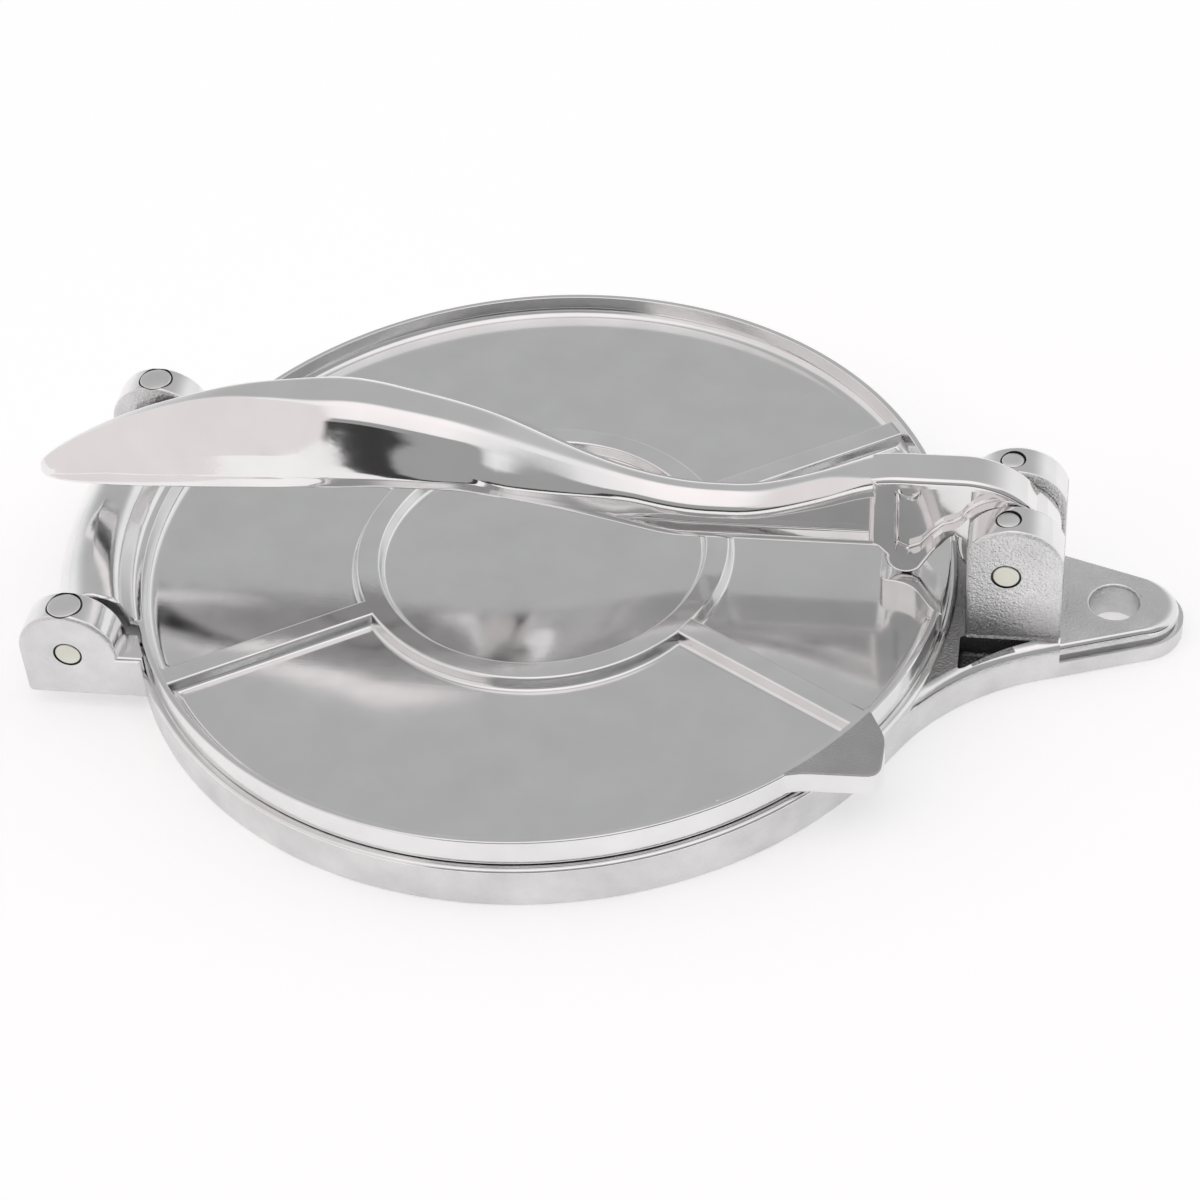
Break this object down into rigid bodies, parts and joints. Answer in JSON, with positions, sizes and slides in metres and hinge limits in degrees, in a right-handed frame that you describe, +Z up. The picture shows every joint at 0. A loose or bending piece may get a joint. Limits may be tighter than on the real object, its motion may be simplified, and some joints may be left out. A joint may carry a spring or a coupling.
{
  "type": "tortilla press",
  "caption": "Round cast aluminium tortilla press with a hinged ribbed lid, a folding cam lever with a spoon-shaped grip, a finger lug and a hanging tab.",
  "frame": {"origin": "centre of the round base, on the table", "axes": "+X towards the lever hinge and the hanging tab, +Y away from the side that carries the finger lug, +Z up"},
  "size_m": [0.2849, 0.2068, 0.0656],
  "materials": {
    "cast_base": "polished casting with a fine sandy grain on the side walls",
    "cast_lid": "satin floor between polished rim, ring and ribs",
    "polished_lever": "polished by hand, soft mirror",
    "pin_steel": "ground pin ends",
    "lock_plug": "tumbled"
  },
  "bodies": {
    "base": {"base_plate": "cast_base", "lid_hinge_pin": "pin_steel", "lever_hinge_pin": "pin_steel", "lid_pin_lock_near": "lock_plug", "lid_pin_lock_far": "lock_plug", "lever_pin_lock_near": "lock_plug", "lever_pin_lock_far": "lock_plug"},
    "lid": {"lid_plate": "cast_lid"},
    "lever": {"lever_handle": "polished_lever"}
  },
  "joints": [
    {"name": "lever_swing", "type": "hinge", "parent": "base", "child": "lever", "pos_m": [0.1155, 0, 0.03], "axis": [0, 1, 0], "range_deg": [0, 150]},
    {"name": "lid_hinge", "type": "hinge", "parent": "base", "child": "lid", "pos_m": [-0.1095, 0, 0.018], "axis": [0, -1, 0], "range_deg": [0, 110]}
  ],
  "couplings": [
    {"joint": "lid_hinge", "follows": "lever_swing", "ratio": 0.1}
  ]
}
